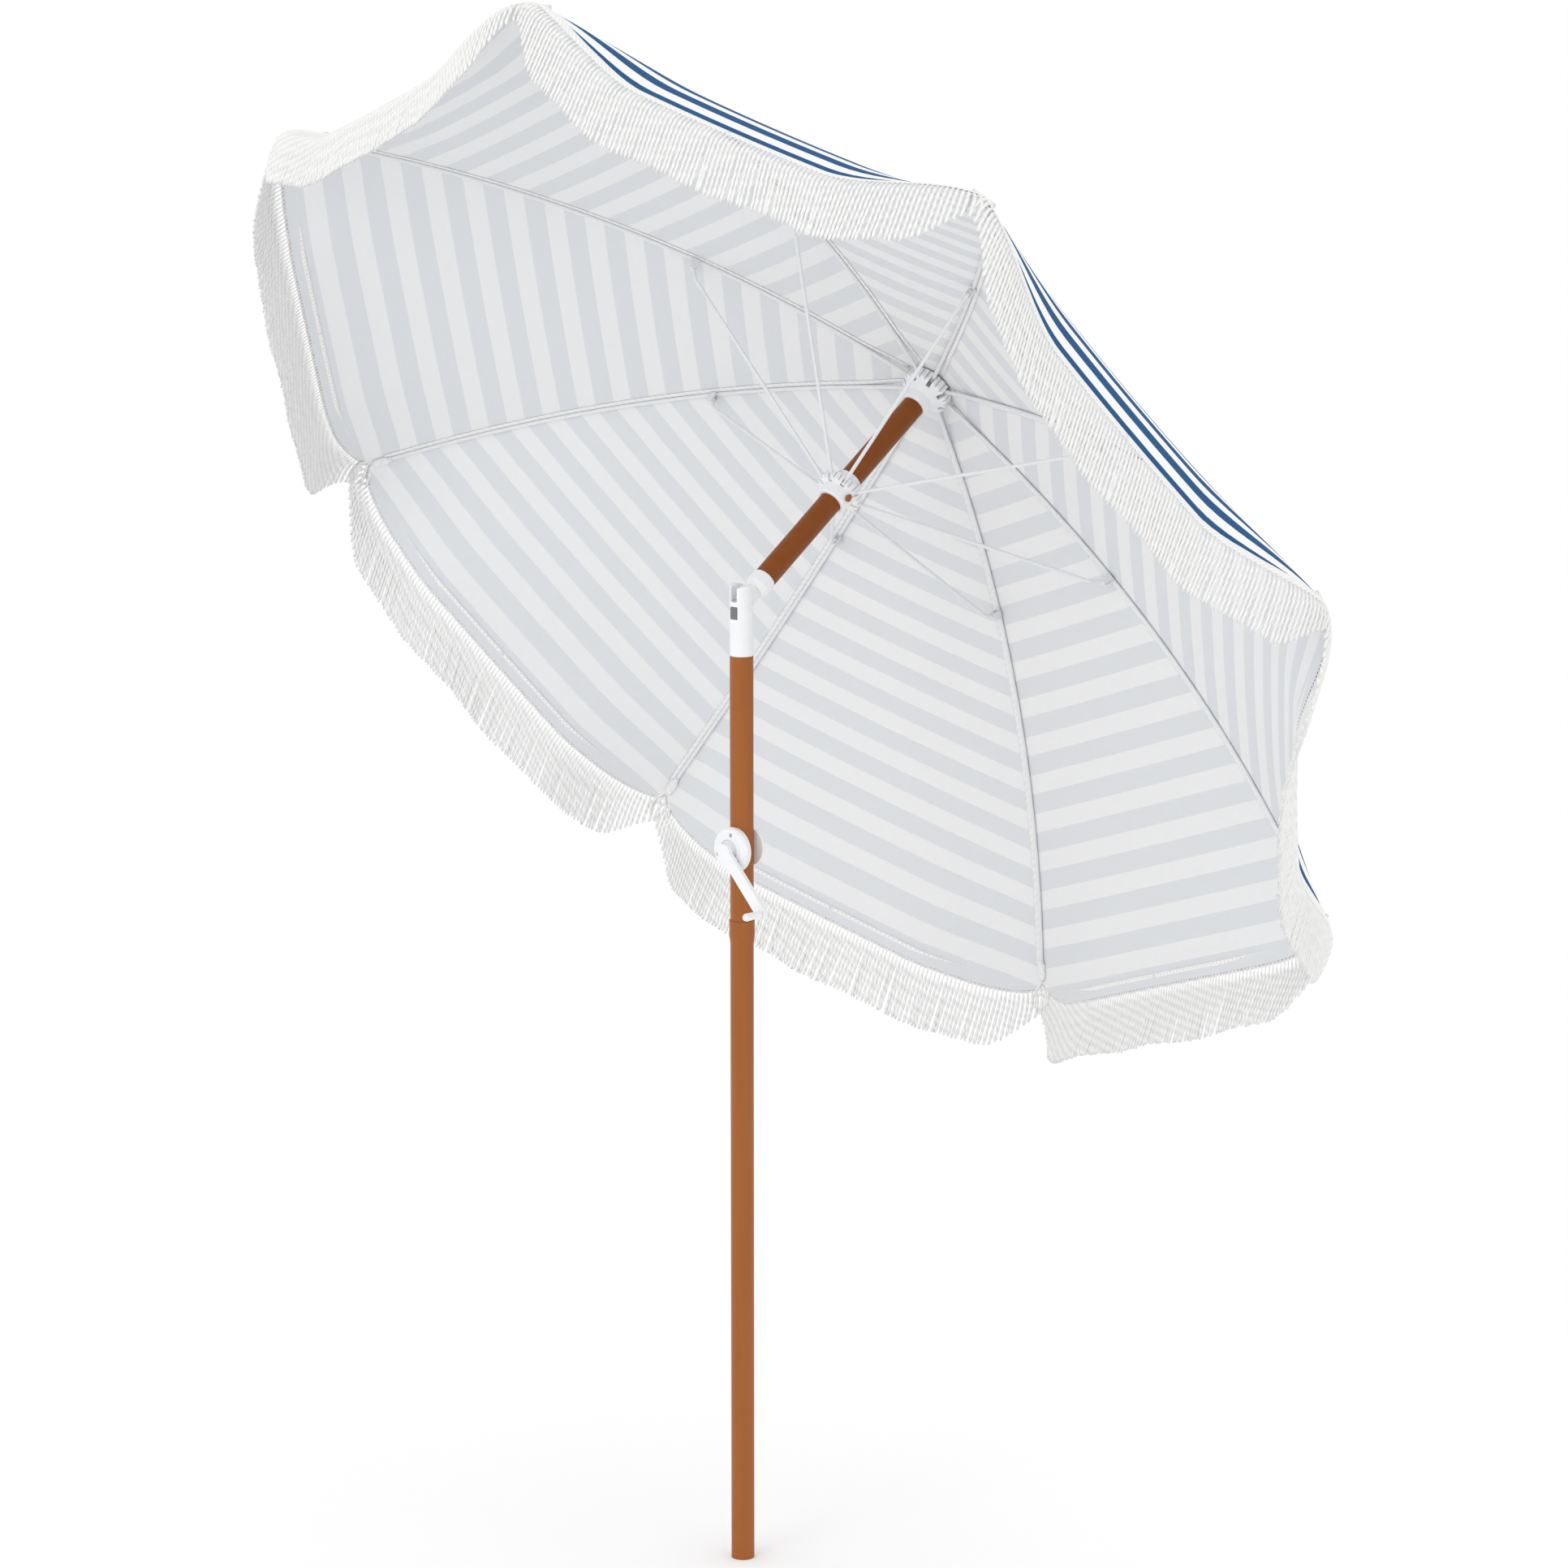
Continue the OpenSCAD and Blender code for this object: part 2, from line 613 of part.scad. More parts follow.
pole_end_plug();
lower_pole();
upper_pole();
tilt_bracket();
tilt_pivot_bolt();
tilt_button();
button_spring();
crank_housing();
crank_back_cover();
housing_screws();
crank_shaft();
cord_drum();
crank_arm();
crank_knob();
lift_cord_lower();
mast_tube();
tilt_yoke();
top_hub();
hub_ring_wire();
cord_pulley();
lift_cord_upper();
canopy_cap();
finial();
runner();
runner_ring_wire();
runner_screws();
cord_carrier();
for (k = [1:RIBS]) {
    rib(k);
    strut(k);
    canopy(k);
    fringe(k);
}
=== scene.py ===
"""Beach umbrella: striped canopy, cotton cord fringe, push-button tilt and crank lift."""
import json
import math
import random

import bpy
import numpy as np
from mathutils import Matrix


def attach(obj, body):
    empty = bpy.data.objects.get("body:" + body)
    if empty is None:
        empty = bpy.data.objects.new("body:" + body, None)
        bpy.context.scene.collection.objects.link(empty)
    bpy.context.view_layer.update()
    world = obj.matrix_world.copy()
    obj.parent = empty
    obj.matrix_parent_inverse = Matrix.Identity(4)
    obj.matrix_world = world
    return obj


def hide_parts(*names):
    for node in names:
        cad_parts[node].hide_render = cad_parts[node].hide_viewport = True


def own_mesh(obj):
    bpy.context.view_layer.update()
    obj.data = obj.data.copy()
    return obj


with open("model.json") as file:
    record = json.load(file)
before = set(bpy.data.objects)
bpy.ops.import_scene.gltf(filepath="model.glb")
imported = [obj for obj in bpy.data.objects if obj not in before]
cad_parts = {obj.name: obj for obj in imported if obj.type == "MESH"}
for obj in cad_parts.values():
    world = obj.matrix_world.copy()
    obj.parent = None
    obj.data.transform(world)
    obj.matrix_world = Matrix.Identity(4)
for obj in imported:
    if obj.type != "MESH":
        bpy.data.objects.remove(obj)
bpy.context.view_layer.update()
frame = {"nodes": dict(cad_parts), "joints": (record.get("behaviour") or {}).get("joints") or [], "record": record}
scene = bpy.context.scene
scene.view_settings.view_transform = "Standard"
joints = {j["name"]: j for j in frame["joints"]}

# ---------------------------------------------------------------- sizes, in metres
# The mast and its eight ribs. "Share" is a part of the step from one rib to the next.
RIBS = 8
STEP = 2 * math.pi / RIBS
PIVOT = np.array(joints["tilt"]["pos_m"])
MAST = -np.array(joints["runner_slide"]["axis"])
TILT = math.acos(MAST[2])
HUB = 0.539  # from the pivot up the mast to the top hub
TIP_R = 1.02775  # from the mast out to a rib's end
BEND = 2.242  # radius of a rib's arc, and where its centre lies
BEND_X = -0.175
BEND_Z = -math.sqrt(BEND ** 2 - BEND_X ** 2)
RIB_D = 0.0065

# The cloth over them.
APEX_R = 0.021  # hole in the middle, and how the cloth rises to it
APEX_LIFT = 0.009
APEX_RUN = 0.130
FLAP = 0.062  # cloth past a rib's end, and the share that its round corner takes
CORNER = 0.16
SAG = 0.015  # the panel's hollow, as a share of its width
DROOP = 0.065  # how far the hem hangs between the ribs, as a share of the panel's width
DROOP_RUN = 0.320
DROOP_SHARE = 0.3
POCKET = 0.012
CLOTH_OFF = RIB_D / 2 + 0.0009
CLOTH_T = 0.0009
STRIPE = 0.0695  # one blue and one white stripe
SHIFT = 1.7  # moves each panel's weave to another part of the noise

# The fringe: its cords are shorter next to a rib's end.
FRINGE = 0.112
CORD_STEP = 0.0074
CORD_R = 0.0027
CORD_BEND = 0.05  # length over which a cord turns from the hem's direction to hanging
CORD_PITCH = 0.011  # length of half a turn of the cord's twist
NOTCH = 0.42
NOTCH_SHARE = 0.11

EX = np.array([math.cos(TILT), 0, -math.sin(TILT)])
EY = np.array([0, 1.0, 0])


def row(p):
    """A point of the mast's frame, in the row frame."""
    p = np.asarray(p, float)
    return PIVOT + p[..., 0:1] * EX + p[..., 1:2] * EY + p[..., 2:3] * MAST


def spin(p, a):
    """Points turned by the angle a about the mast."""
    p = np.asarray(p, float)
    c, s = np.cos(a), np.sin(a)
    return np.stack([p[..., 0] * c - p[..., 1] * s, p[..., 0] * s + p[..., 1] * c, p[..., 2]], -1)


# ---------------------------------------------------------------- camera
CAM_AT = (-6.101, -5.866, 3.0505)
HEADING = 43.416
PITCH = -11.655
LENS = 123.54
camera = bpy.data.objects.new("camera", bpy.data.cameras.new("camera"))
scene.collection.objects.link(camera)
scene.camera = camera
camera.location = CAM_AT
camera.rotation_euler = (math.radians(90 + PITCH), 0, math.radians(HEADING - 90))
camera.data.sensor_width = 36
camera.data.lens = LENS
camera.data.clip_end = 100


# ---------------------------------------------------------------- materials
class Nodes:
    """A small helper that wires one procedural material."""

    def __init__(self, name):
        self.mat = bpy.data.materials.new(name)
        self.mat.use_nodes = True
        self.tree = self.mat.node_tree
        self.shader = self.tree.nodes["Principled BSDF"]

    def add(self, kind, inputs=None, **settings):
        node = self.tree.nodes.new(kind)
        for key, value in settings.items():
            setattr(node, key, value)
        for key, value in (inputs or {}).items():
            if isinstance(value, bpy.types.NodeSocket):
                self.tree.links.new(value, node.inputs[key])
            else:
                node.inputs[key].default_value = value
        return node

    def math(self, op, a, b=0.0, c=0.0):
        return self.add("ShaderNodeMath", {0: a, 1: b, 2: c}, operation=op).outputs[0]

    def mix(self, factor, a, b):
        node = self.add("ShaderNodeMix", data_type="RGBA")
        for key, value in ((0, factor), (6, a), (7, b)):
            if isinstance(value, bpy.types.NodeSocket):
                self.tree.links.new(value, node.inputs[key])
            else:
                node.inputs[key].default_value = value
        return node.outputs[2]

    def set(self, **values):
        for key, value in values.items():
            self.shader.inputs[key.replace("_", " ")].default_value = value

    def link(self, socket, name):
        self.tree.links.new(socket, self.shader.inputs[name])

    def bump(self, height, distance, strength=1.0):
        inputs = {"Height": height, "Distance": distance, "Strength": strength}
        node = self.add("ShaderNodeBump", inputs)
        self.link(node.outputs[0], "Normal")

    def noise(self, scale, detail=3.0, vector=None):
        if vector is None:
            vector = self.add("ShaderNodeTexCoord").outputs["Object"]
        inputs = {"Scale": scale, "Detail": detail, "Vector": vector}
        return self.add("ShaderNodeTexNoise", inputs).outputs["Fac"]

    def bands(self, direction, vector, scale, distortion, **more):
        inputs = {"Vector": vector, "Scale": scale, "Distortion": distortion}
        inputs.update({key.replace("_", " "): value for key, value in more.items()})
        return self.add("ShaderNodeTexWave", inputs, wave_type="BANDS",
                        bands_direction=direction).outputs["Fac"]

    def ramp(self, value, low, high):
        inputs = {"Value": value, "From Min": low, "From Max": high}
        return self.add("ShaderNodeMapRange", inputs).outputs[0]

    def stretched(self, scale):
        coords = self.add("ShaderNodeTexCoord").outputs["Object"]
        return self.add("ShaderNodeMapping", {"Vector": coords, "Scale": scale}).outputs[0]


def rgb(r, g, b):
    """A display colour, 0 to 255, as the linear colour that shaders take."""
    def line(c):
        c = c / 255
        return c / 12.92 if c <= 0.04045 else ((c + 0.055) / 1.055) ** 2.4
    return (line(r), line(g), line(b), 1.0)


def brown_paint(name, light, dark):
    m = Nodes(name)
    streak = m.noise(60, 4, m.stretched((1.0, 1.0, 0.06)))
    fine = m.noise(900, 2)
    m.link(m.mix(streak, light, dark), "Base Color")
    m.link(m.math("MULTIPLY_ADD", streak, 0.16, 0.34), "Roughness")
    m.bump(fine, 0.00004, 0.6)
    m.set(Specular_IOR_Level=0.25)
    return m.mat


def white_plastic():
    m = Nodes("white_plastic")
    fine = m.noise(1400, 2)
    cloud = m.noise(18, 3)
    m.link(m.mix(cloud, rgb(240, 240, 241), rgb(230, 231, 233)), "Base Color")
    m.link(m.math("MULTIPLY_ADD", cloud, 0.12, 0.3), "Roughness")
    m.bump(fine, 0.00005, 0.5)
    m.set(Subsurface_Weight=0.05, Subsurface_Scale=0.004)
    return m.mat


def grey_plastic():
    m = Nodes("grey_plastic")
    fine = m.noise(1500, 2)
    m.link(m.mix(fine, rgb(122, 123, 125), rgb(108, 109, 111)), "Base Color")
    m.link(m.math("MULTIPLY_ADD", fine, 0.15, 0.42), "Roughness")
    m.bump(fine, 0.00006, 0.5)
    return m.mat


def frame_paint():
    m = Nodes("frame_paint")
    mottle = m.noise(260, 4)
    m.link(m.mix(mottle, rgb(232, 233, 234), rgb(217, 218, 220)), "Base Color")
    m.link(m.math("MULTIPLY_ADD", mottle, 0.2, 0.3), "Roughness")
    m.bump(mottle, 0.00006, 0.4)
    m.set(Metallic=0.05, Coat_Weight=0.15)
    return m.mat


def bright_steel():
    m = Nodes("bright_steel")
    brushed = m.noise(500, 3, m.stretched((1.0, 1.0, 0.05)))
    m.link(m.mix(brushed, rgb(196, 198, 201), rgb(170, 172, 176)), "Base Color")
    m.link(m.math("MULTIPLY_ADD", brushed, 0.25, 0.22), "Roughness")
    m.set(Metallic=0.95)
    return m.mat


def end_plug():
    m = Nodes("end_plug")
    fine = m.noise(1200, 2)
    m.link(m.mix(fine, rgb(120, 70, 36), rgb(100, 58, 30)), "Base Color")
    m.link(m.math("MULTIPLY_ADD", fine, 0.1, 0.5), "Roughness")
    m.bump(fine, 0.00006, 0.4)
    return m.mat


def weave_vector(m):
    """(metres across the panel, metres up from the hem line) that each cloth point carries."""
    node = m.add("ShaderNodeAttribute", attribute_name="weave", attribute_type="GEOMETRY")
    return node.outputs["Vector"]


def canopy_cloth(name, blue, white, thread):
    """Woven stripes that run parallel to the hem: blue first, from the hem up."""
    m = Nodes(name)
    vector = weave_vector(m)
    up = m.add("ShaderNodeSeparateXYZ", {0: vector}).outputs[1]
    wobble = m.noise(40, 2, vector)
    shifted = m.math("MULTIPLY_ADD", wobble, 0.0012, up)
    phase = m.math("FRACT", m.math("DIVIDE", shifted, STRIPE))
    edge = 0.012
    is_white = m.math("SUBTRACT", m.ramp(phase, 0.5 - edge, 0.5 + edge),
                      m.ramp(phase, 1 - 2 * edge, 1.0))
    long = m.add("ShaderNodeMapping", {"Vector": vector, "Scale": (55, 900, 1)}).outputs[0]
    slub = m.noise(1.0, 3, long)
    weft = m.bands("Y", vector, 150.0, 1.2, Detail=2.0, Detail_Scale=1.5)
    warp = m.bands("X", vector, 190.0, 0.6)
    woven = m.math("MULTIPLY_ADD", slub, 0.7, m.math("MULTIPLY", weft, 0.3))
    tone = m.mix(is_white, m.mix(woven, blue, thread), m.mix(woven, white[0], white[1]))
    m.link(tone, "Base Color")
    m.bump(m.math("ADD", woven, m.math("MULTIPLY", warp, 0.5)), 0.0004, 0.45)
    m.set(Roughness=0.9, Specular_IOR_Level=0.12)
    return m.mat


def cord_cotton(name, light, dark):
    """Soft twisted cotton with fine fibres: the fibre speckle is the cotton's own, the darker twist grooves are
    painted shade.
    """
    m = Nodes(name)
    twist = m.bands("DIAGONAL", weave_vector(m), 46.0, 0.6)
    fibre = m.noise(1300, 3)
    # Darker where the twist's relief is low: painted shade in the grooves. The fibre noise is the cotton's own
    # speckle.
    tone = m.math("MULTIPLY_ADD", fibre, 0.4, m.math("MULTIPLY", twist, 0.6))
    m.link(m.mix(tone, dark, light), "Base Color")
    m.bump(tone, 0.0005, 0.6)
    m.set(Roughness=0.9, Sheen_Weight=0.3)
    return m.mat


def braid_cotton():
    """The braided band that carries the fringe, darker between its strands: painted shade."""
    m = Nodes("braid_cotton")
    vector = weave_vector(m)
    flipped = m.add("ShaderNodeMapping", {"Vector": vector, "Scale": (-1, 1, 1)}).outputs[0]
    left = m.bands("DIAGONAL", vector, 70.0, 0.3)
    right = m.bands("DIAGONAL", flipped, 70.0, 0.3)
    braid = m.math("MAXIMUM", left, right)
    # Darker where the braid's relief is low, between the strands: painted shade.
    m.link(m.mix(braid, rgb(214, 214, 213), rgb(240, 240, 239)), "Base Color")
    m.bump(braid, 0.0008, 0.7)
    m.set(Roughness=0.9, Sheen_Weight=0.3)
    return m.mat


def lift_cord():
    m = Nodes("lift_cord")
    fibre = m.noise(900, 3)
    m.link(m.mix(fibre, rgb(214, 210, 198), rgb(190, 186, 172)), "Base Color")
    m.bump(fibre, 0.0003, 0.5)
    m.set(Roughness=0.85)
    return m.mat


MATERIALS = {
    "brown_paint": brown_paint("brown_paint", rgb(162, 95, 42), rgb(147, 84, 35)),
    "end_plug": end_plug(),
    "white_plastic": white_plastic(),
    "grey_plastic": grey_plastic(),
    "frame_paint": frame_paint(),
    "bright_steel": bright_steel(),
    "lift_cord": lift_cord(),
}
# The mast wears a darker, more saturated copy of the pole's brown paint: painted shade under the canopy.
SHADED_MAST_PAINT = brown_paint("brown_paint_mast_painted_shade", rgb(137, 73, 20), rgb(123, 63, 13))
OUTSIDE = canopy_cloth("canopy_outside", rgb(32, 80, 126), (rgb(245, 245, 245), rgb(236, 236, 237)),
                       rgb(44, 90, 135))
# The inside's near-white is the cloth's own colour. Its blue-grey stripes are painted light: daylight shining
# through the blue stripes from above.
BACKLIT_INSIDE = canopy_cloth("canopy_inside_painted_backlight", rgb(212, 215, 219), (rgb(235, 235, 235), rgb(225, 226, 228)),
                      rgb(220, 222, 225))
CORD = cord_cotton("fringe_cotton", rgb(246, 246, 245), rgb(222, 222, 221))
SEAM = cord_cotton("seam_tape", rgb(236, 236, 236), rgb(222, 223, 224))
BRAID = braid_cotton()


# ---------------------------------------------------------------- the canopy's surface
def bend_at(r):
    """Bend angle of a rib where it is r away from the mast."""
    return np.arcsin((np.asarray(r) - BEND_X) / BEND)


TIP_B = float(bend_at(TIP_R))
FIRST_B = float(bend_at(APEX_R))
HEM_B = TIP_B + FLAP / BEND


def smooth(t):
    t = np.clip(t, 0, 1)
    return t * t * (3 - 2 * t)


def over_rib(b, off):
    """Points over the rib along X, in the mast's frame, off above the rib's middle line."""
    x = BEND_X + (BEND + off) * np.sin(b)
    z = BEND_Z + (BEND + off) * np.cos(b) + HUB
    return np.stack([x, 0 * x, z + APEX_LIFT * (1 - smooth((x - APEX_R) / APEX_RUN))], -1)


def cloth(b, a, off=CLOTH_OFF):
    """The canopy at bend angle b and the share a away from its rib, in the mast's frame."""
    b, a = np.broadcast_arrays(np.asarray(b, float), np.asarray(a, float))
    p = over_rib(b, off)
    q = spin(p, np.sign(a) * STEP)
    t = np.abs(a)[..., None]
    inward = spin(np.stack([-np.sin(b), 0 * b, -np.cos(b)], -1), a * STEP)
    span = np.linalg.norm(p - q, axis=-1)[..., None]
    near_hem = 1 - np.clip((HEM_B - b) * BEND / DROOP_RUN, 0, 1)
    low = DROOP * near_hem ** 2 * smooth(np.abs(a) / DROOP_SHARE)
    return p * (1 - t) + q * t + inward * span * (SAG * 4 * t * (1 - t) + low[..., None])


def edge_b(a):
    """Bend angle of the hem: the pocket past the rib's end, then round a corner to the flap."""
    t = np.minimum(np.abs(a) / CORNER, 1)
    corner = np.sqrt(np.maximum(0, 1 - (1 - t) ** 2))
    return TIP_B + (POCKET + (FLAP - POCKET) * corner) / BEND


def unit(v):
    return v / np.maximum(np.linalg.norm(v, axis=-1, keepdims=True), 1e-9)


# The way a cord hangs, in the mast's frame: between straight down and square to the mast.
HANG = unit(np.array([0.5 * math.sin(TILT), 0, -0.5 * math.cos(TILT) - 0.5]))


# ---------------------------------------------------------------- mesh helpers
def make_mesh(name, points, faces, weave, materials):
    """A smooth-shaded mesh whose points carry the weave coordinates."""
    mesh = bpy.data.meshes.new(name)
    mesh.from_pydata(np.asarray(points).reshape(-1, 3).tolist(), [], faces)
    attribute = mesh.attributes.new("weave", "FLOAT_VECTOR", "POINT")
    attribute.data.foreach_set("vector", np.asarray(weave, np.float32).ravel())
    mesh.polygons.foreach_set("use_smooth", [True] * len(mesh.polygons))
    for m in materials:
        mesh.materials.append(m)
    mesh.update()
    obj = bpy.data.objects.new(name, mesh)
    scene.collection.objects.link(obj)
    return obj


def thicken(obj, thickness):
    """Gives a surface its thickness, half to each side."""
    solid = obj.modifiers.new("thickness", "SOLIDIFY")
    solid.thickness = thickness
    solid.offset = 0


def grid_faces(rows, cols, closed=False, start=0):
    """Quads between rows and columns of points; closed joins the last column to the first."""
    faces = []
    for i in range(rows - 1):
        for j in range(cols if closed else cols - 1):
            n = (j + 1) % cols
            faces.append((start + i * cols + j, start + (i + 1) * cols + j,
                          start + (i + 1) * cols + n, start + i * cols + n))
    return faces


def fold_with(obj, k):
    """The piece rides its rib, with a mesh of its own."""
    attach(obj, f"rib_{k}")
    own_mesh(obj)


# ---------------------------------------------------------------- canopy
UP_ROWS = 56
SIDE_COLS = 44
CROWD = 1.35  # above 1 the columns crowd towards the rib


def canopy_panel(k):
    """The sheet over rib k, out to the middle of both panels: two skins and a flat rim.

    The rim has points of its own, so that it doesn't bend the skins' shading.
    """
    t = np.linspace(-1, 1, SIDE_COLS + 1)
    a = 0.5 * np.sign(t) * np.abs(t) ** CROWD
    rise = np.linspace(0, 1, UP_ROWS + 1)[:, None]
    b = FIRST_B + (edge_b(a)[None, :] - FIRST_B) * rise
    a = np.broadcast_to(a[None, :], b.shape)
    theta = (k - 1) * STEP
    middle, top, under = (row(spin(cloth(b, a, CLOTH_OFF + side * CLOTH_T / 2), theta))
                          for side in (0, 1, -1))
    up = (HEM_B - b) * BEND
    across = a * STEP * (BEND_X + BEND * np.sin(b)) + k * SHIFT
    weave = np.stack([across, up, 0 * up], -1).reshape(-1, 3)
    rows, cols = b.shape
    count = rows * cols
    faces = grid_faces(rows, cols)
    skin = len(faces)
    faces += [tuple(reversed(f)) for f in grid_faces(rows, cols, start=count)]
    edge = list(range(cols))
    edge += [i * cols + cols - 1 for i in range(1, rows)]
    edge += [(rows - 1) * cols + j for j in range(cols - 2, -1, -1)]
    edge += [i * cols for i in range(rows - 2, 0, -1)]
    rim = 2 * count
    m = len(edge)
    faces += [(rim + i, rim + (i + 1) % m, rim + m + (i + 1) % m, rim + m + i) for i in range(m)]
    top, under = top.reshape(-1, 3), under.reshape(-1, 3)
    points = np.concatenate([top, under, top[edge], under[edge]])
    weave = np.concatenate([weave, weave, weave[edge], weave[edge]])
    obj = make_mesh(f"canopy_sheet_{k}", points, faces, weave, [OUTSIDE, BACKLIT_INSIDE])
    polygons = obj.data.polygons
    polygons.foreach_set("material_index", [int(skin <= n < 2 * skin) for n in range(len(faces))])
    polygons.foreach_set("use_smooth", [n < 2 * skin for n in range(len(faces))])
    return obj, middle


# ---------------------------------------------------------------- hem and fringe
HEM_SAMPLES = 1601


def hem_line(k, step):
    """Evenly spaced points of the hem of piece k.

    Gives [points, way along, way out of the cloth, outer normal], the length along and the share.
    """
    a = np.linspace(-0.5, 0.5, HEM_SAMPLES)
    b = edge_b(a)
    p = cloth(b, a)
    length = np.concatenate([[0], np.cumsum(np.linalg.norm(np.diff(p, axis=0), axis=1))])
    count = max(int(round(length[-1] / step)), 2)
    at = (np.arange(count) + 0.5) / count * length[-1]
    a = np.interp(at, length, a)
    b = edge_b(a)
    p = cloth(b, a)
    along = unit(np.gradient(p, axis=0))
    down = unit(cloth(b + 0.002, a) - cloth(b - 0.002, a))
    side = cloth(b, np.clip(a + 0.01, -0.5, 0.5)) - cloth(b, np.clip(a - 0.01, -0.5, 0.5))
    side = unit(side)
    normal = unit(np.cross(down, side))
    out = unit(np.cross(along, normal))
    out *= np.sign(np.sum(out * (down + 0.2 * side * np.sign(-a)[:, None]), axis=1))[:, None]
    normal *= np.sign(normal[:, 2])[:, None]
    theta = (k - 1) * STEP
    return [spin(v, theta) for v in (p, along, out, normal)], at + (k - 1) * length[-1], a


CORD_RINGS = 15
CORD_SIDES = 6
# A cord's thickness along its length: thin at the hem, full below, and a small bead at its end.
THICK_AT = [0, 0.03, 0.11, 0.18, 0.9, 0.97, 1.0]
THICK = [0.6, 0.4, 0.42, 1.0, 1.0, 1.2, 0.6]


def fringe_cords(k, chance):
    """Twisted cords that leave the hem square to it and then hang."""
    (p, along, out, normal), at, share = hem_line(k, CORD_STEP)
    s = np.linspace(0, 1, CORD_RINGS)
    points, faces, weave = [], [], []
    for i in range(len(p)):
        sway = 0.07 * math.sin(at[i] * 9.0) + 0.04 * math.sin(at[i] * 23.0 + 1.0)
        sway = sway + chance.gauss(0, 0.012)
        swing = 0.05 * math.sin(at[i] * 14.0 + 2.0) + chance.gauss(0, 0.012)
        long = FRINGE * (0.95 + 0.02 * math.sin(at[i] * 31.0) + chance.uniform(-0.012, 0.012))
        long *= NOTCH + (1 - NOTCH) * float(smooth(abs(share[i]) / NOTCH_SHARE))
        fall = unit(HANG + along[i] * sway + normal[i] * swing)
        centre = [p[i] + normal[i] * 0.0006]
        for j in range(1, CORD_RINGS):
            w = min(s[j] * long / CORD_BEND, 1)
            w = w * w * (3 - 2 * w) * 0.75 + 0.25 * min(s[j] * 8, 1)
            step = unit(out[i] * (1 - w) + fall * w)
            centre.append(centre[-1] + step * long / (CORD_RINGS - 1))
        centre = np.array(centre)
        way = unit(np.gradient(centre, axis=0))
        u = unit(np.cross(way, normal[i] + 0.3 * along[i]))
        v = np.cross(way, u)
        thick = CORD_R * np.interp(s, THICK_AT, THICK)
        start = len(points) * CORD_SIDES * CORD_RINGS
        rings = []
        turns = s * long / CORD_PITCH * math.pi
        for j in range(CORD_SIDES):
            angle = 2 * math.pi * j / CORD_SIDES
            reach = thick * (1 + 0.2 * np.cos(2 * (angle - turns)))
            rings.append(centre + reach[:, None] * (u * math.cos(angle) + v * math.sin(angle)))
        points.append(np.stack(rings, 1))
        faces += grid_faces(CORD_RINGS, CORD_SIDES, closed=True, start=start)
        faces.append(tuple(start + (CORD_RINGS - 1) * CORD_SIDES + j for j in range(CORD_SIDES)))
        faces.append(tuple(start + CORD_SIDES - 1 - j for j in range(CORD_SIDES)))
        ring_u = np.arange(CORD_SIDES)[None, :] * CORD_R + i * 0.03
        ring_v = (s * long)[:, None]
        weave.append(np.stack(np.broadcast_arrays(ring_u, ring_v, 0.0), -1))
    points = row(np.array(points).reshape(-1, 3))
    return make_mesh(f"fringe_cords_{k}", points, faces, np.array(weave).reshape(-1, 3), [CORD])


BAND_W = 0.021
BAND_STEP = 0.004


def fringe_band(k):
    """The braided band over the outside of the hem, with its lower edge just past the cloth."""
    (p, _, out, normal), at, _ = hem_line(k, BAND_STEP)
    p[0], p[-1] = (spin(cloth(edge_b(a), a), (k - 1) * STEP) for a in (-0.5, 0.5))
    up = np.array([-0.0045, -0.0035, 0.0, 0.004, 0.009, 0.014, BAND_W - 0.001, BAND_W])
    lift = np.array([0.0003, 0.0012, 0.0018, 0.0022, 0.0024, 0.0022, 0.0018, 0.0006])
    points = p[:, None] - out[:, None] * up[None, :, None] + normal[:, None] * lift[None, :, None]
    weave = np.stack(np.broadcast_arrays(at[:, None], up[None, :], 0 * at[:, None]), -1)
    obj = make_mesh(f"fringe_band_{k}", row(points.reshape(-1, 3)), grid_faces(len(p), len(up)),
                    weave.reshape(-1, 3), [BRAID])
    thicken(obj, 0.0008)
    return obj


SEAM_START = 0.05  # from the mast to where the seam begins to show
SEAM_ROWS = 90


def seam_tape(k):
    """The folded seam of two panels, stitched flat beside the rib on the underside."""
    b = np.linspace(float(bend_at(SEAM_START)), TIP_B - 0.004, SEAM_ROWS)
    offs = np.array([0.0026, 0.0050, 0.0090, 0.0128])
    drop = np.array([0.0008, 0.0017, 0.0017, 0.0008])
    theta = (k - 1) * STEP
    r = BEND_X + BEND * np.sin(b)
    points = np.stack([cloth(b, side / (r * STEP), CLOTH_OFF - CLOTH_T / 2 - depth)
                       for side, depth in zip(offs, drop)], 1)
    up = np.broadcast_to(((HEM_B - b) * BEND)[:, None], points.shape[:2])
    weave = np.stack([np.broadcast_to(offs[None, :], points.shape[:2]), up, 0 * up], -1)
    obj = make_mesh(f"seam_tape_{k}", row(spin(points.reshape(-1, 3), theta)),
                    grid_faces(len(b), len(offs)), weave.reshape(-1, 3), [SEAM])
    thicken(obj, 0.0007)
    return obj


TIP_L = 0.034  # length, half width and half depth of the pocket
TIP_W = 0.0078
TIP_H = 0.0062
TIP_BACK = 0.020


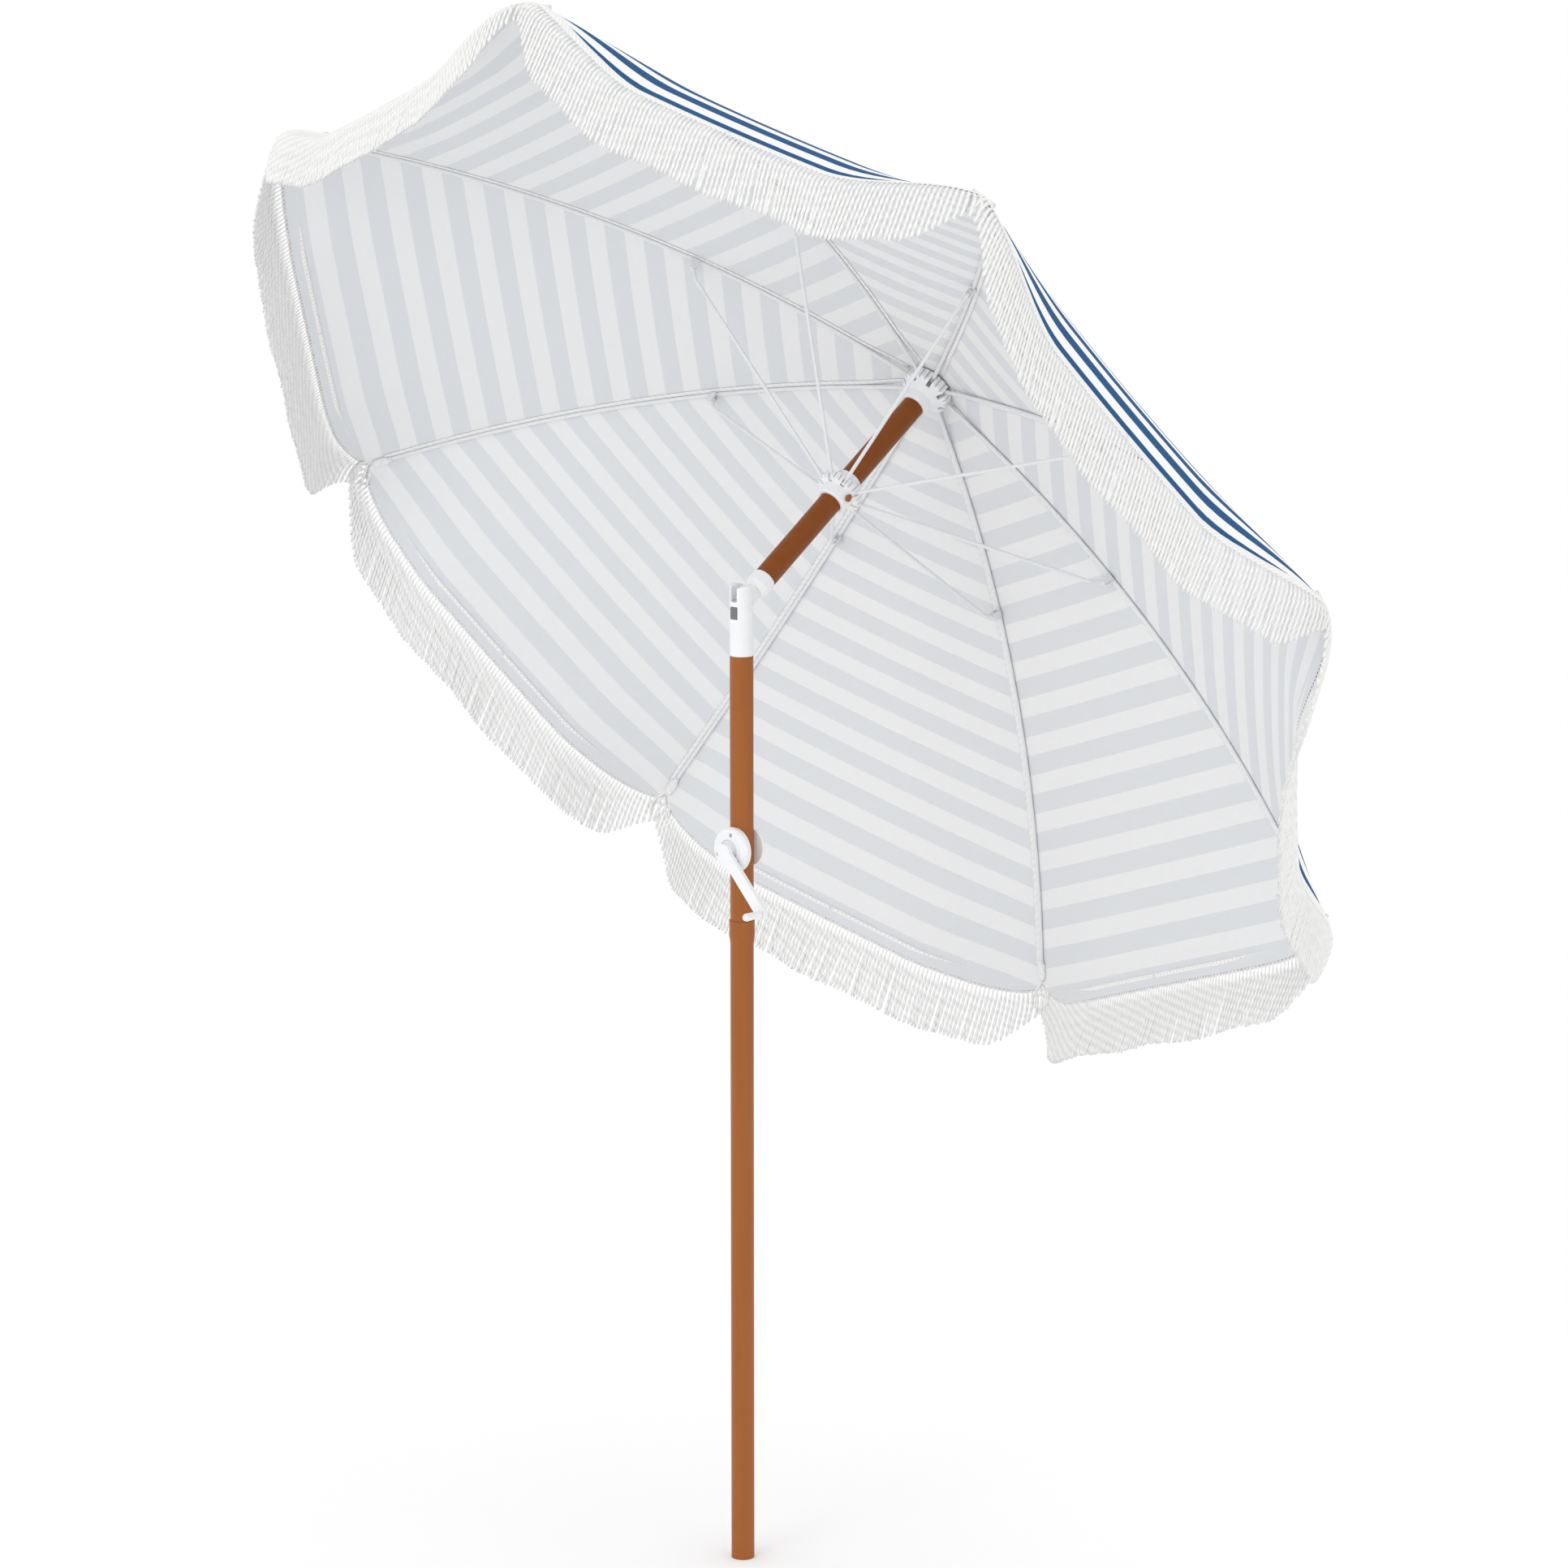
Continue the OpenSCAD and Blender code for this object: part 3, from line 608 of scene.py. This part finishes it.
def tip_pocket(k):
    """The small cloth pocket that a rib's end sits in."""
    theta = (k - 1) * STEP
    rings, sides = 12, 14
    s = np.linspace(0, 1, rings)
    b = TIP_B + (TIP_L * s - TIP_BACK) / BEND
    centre = over_rib(b, -0.0006)
    full = np.sqrt(np.clip(1 - (2 * s - 1) ** 4, 0.02, 1))
    wide = (TIP_W * full)[:, None, None]
    deep = (TIP_H * full * (1 - 0.35 * s))[:, None, None]
    angle = np.linspace(0, 2 * math.pi, sides, endpoint=False)
    normal = np.stack([np.sin(b), 0 * b, np.cos(b)], -1)
    points = centre[:, None] + wide * np.cos(angle)[None, :, None] * EY \
        + deep * np.sin(angle)[None, :, None] * normal[:, None]
    faces = grid_faces(rings, sides, closed=True)
    faces.append(tuple(range(sides - 1, -1, -1)))
    faces.append(tuple((rings - 1) * sides + j for j in range(sides)))
    weave = np.stack(np.broadcast_arrays(angle[None, :] * 0.008, (s * TIP_L)[:, None], 0.0), -1)
    return make_mesh(f"tip_pocket_{k}", row(spin(points.reshape(-1, 3), theta)), faces,
                     weave.reshape(-1, 3), [SEAM])


chance = random.Random(7)
for k in range(1, RIBS + 1):
    sheet, middle = canopy_panel(k)
    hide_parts(f"canopy_{k}")
    fold_with(sheet, k)
    cords = fringe_cords(k, chance)
    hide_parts(f"fringe_{k}")
    band = fringe_band(k)
    tape = seam_tape(k)
    pocket = tip_pocket(k)
    for piece, slot in ((cords, "fringe_cotton"), (band, "fringe_cotton"),
                        (tape, "canopy_fabric"), (pocket, "canopy_fabric")):
        fold_with(piece, k)

# ---------------------------------------------------------------- finishes of the CAD nodes
slots = {s["node"]: s["material_slot"] for s in frame["record"]["subparts"]}
for name, obj in frame["nodes"].items():
    finish = MATERIALS.get(slots[name])
    if finish is None or obj.hide_render:
        continue
    obj.data.materials.clear()
    # mast_tube takes the darker copy of the brown paint, which is painted shade under the canopy.
    obj.data.materials.append(SHADED_MAST_PAINT if name == "mast_tube" else finish)

# ---------------------------------------------------------------- floor and light
FLOOR_HALF = 60


def floor():
    m = Nodes("floor")
    cloud = m.noise(0.6, 2)
    m.link(m.mix(cloud, (0.93, 0.93, 0.93, 1), (0.95, 0.95, 0.95, 1)), "Base Color")
    m.set(Roughness=0.9)
    s = FLOOR_HALF
    mesh = bpy.data.meshes.new("floor")
    mesh.from_pydata([(-s, -s, 0), (s, -s, 0), (s, s, 0), (-s, s, 0)], [], [(0, 1, 2, 3)])
    mesh.materials.append(m.mat)
    obj = bpy.data.objects.new("floor", mesh)
    scene.collection.objects.link(obj)


def soft_light(name, at, aim, size, power):
    """A round lamp at one place, aimed at another."""
    light = bpy.data.lights.new(name, "AREA")
    light.shape = "DISK"
    light.size = size
    light.energy = power
    obj = bpy.data.objects.new(name, light)
    scene.collection.objects.link(obj)
    obj.location = at
    x, y, z = np.array(aim) - np.array(at)
    obj.rotation_euler = (math.atan2(math.hypot(x, y), -z), 0, math.atan2(-x, y))


floor()
soft_light("key_light", (-6.5, -0.5, 5.0), (0.2, 0, 1.5), 4.0, 60)
soft_light("fill_light", (-1.5, -7.5, 2.2), (0.2, 0, 1.6), 4.5, 22)
world = bpy.data.worlds.new("world")
scene.world = world
world.use_nodes = True
sky = world.node_tree.nodes["Background"]
sky.inputs["Color"].default_value = (1, 1, 1, 1)
sky.inputs["Strength"].default_value = 1.07

bpy.context.view_layer.update()
